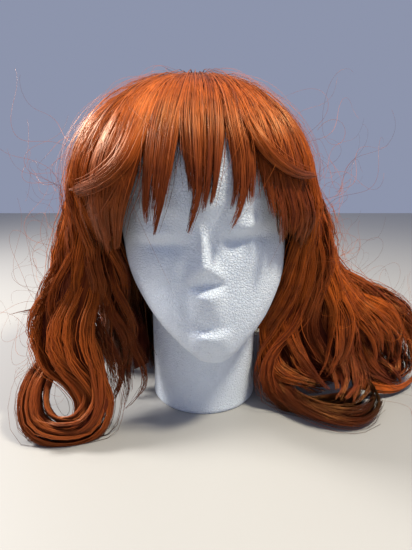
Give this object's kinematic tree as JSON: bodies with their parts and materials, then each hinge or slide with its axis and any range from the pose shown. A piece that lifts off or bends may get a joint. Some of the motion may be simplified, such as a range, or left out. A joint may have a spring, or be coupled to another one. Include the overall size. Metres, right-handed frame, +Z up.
{
  "type": "mannequin training head",
  "caption": "White foam head on a straight neck, wearing a removable long wig with a fringe and curled ends.",
  "frame": {"origin": "centre of the neck's flat base, on the surface that the head stands on", "axes": "+Z up, the face looks along -Y, +X is at the right of a person who faces the head"},
  "size_m": [0.3945, 0.2741, 0.298],
  "materials": {
    "foam": "moulded expanded foam, fine bead grain",
    "net": "open stretch net",
    "skin_top": "close woven lace",
    "band": "woven stretch tape",
    "stay": "flat spring steel",
    "weft": "machine sewn weft",
    "elastic": "braided elastic",
    "hook": "moulded",
    "hair": "glossy synthetic fibre"
  },
  "bodies": {
    "stand_head": {"foam_head": "foam"},
    "wig": {"cap_net": "net", "crown_patch": "skin_top", "front_band": "band", "nape_band": "band", "left_ear_tab": "band", "right_ear_tab": "band", "left_tab_stay": "stay", "right_tab_stay": "stay", "weft_1": "weft", "weft_2": "weft", "weft_3": "weft", "weft_4": "weft", "weft_5": "weft", "weft_6": "weft", "left_strap_casing": "band", "right_strap_casing": "band", "left_hook_loops": "elastic", "right_hook_loops": "elastic", "fringe_left": "hair", "fringe_centre": "hair", "fringe_right": "hair", "left_curtain": "hair", "right_curtain": "hair", "left_crown_hair": "hair", "right_crown_hair": "hair", "left_back_hair": "hair", "right_back_hair": "hair", "left_side_lock": "hair", "left_inner_lock": "hair", "left_back_lock": "hair", "right_side_lock": "hair", "right_back_lock": "hair", "nape_lock_left": "hair", "nape_lock_centre": "hair", "nape_lock_right": "hair", "left_front_curl": "hair", "left_back_curl": "hair", "right_front_curl": "hair", "right_outer_curl": "hair", "right_back_curl": "hair", "nape_curl_left": "hair", "nape_curl_centre": "hair", "nape_curl_right": "hair"},
    "left_adjuster": {"left_adjuster_strap": "elastic", "left_adjuster_hook": "hook"},
    "right_adjuster": {"right_adjuster_strap": "elastic", "right_adjuster_hook": "hook"}
  },
  "joints": [
    {"name": "wig_lift", "type": "slide", "parent": "stand_head", "child": "wig", "axis": [0, 0, 1], "range_m": [0, 0.3]},
    {"name": "left_adjuster_slide", "type": "slide", "parent": "wig", "child": "left_adjuster", "axis": [0.9231, 0.3846, 0], "range_m": [0, 0.01]},
    {"name": "right_adjuster_slide", "type": "slide", "parent": "wig", "child": "right_adjuster", "axis": [-0.9231, 0.3846, 0], "range_m": [0, 0.01]}
  ]
}
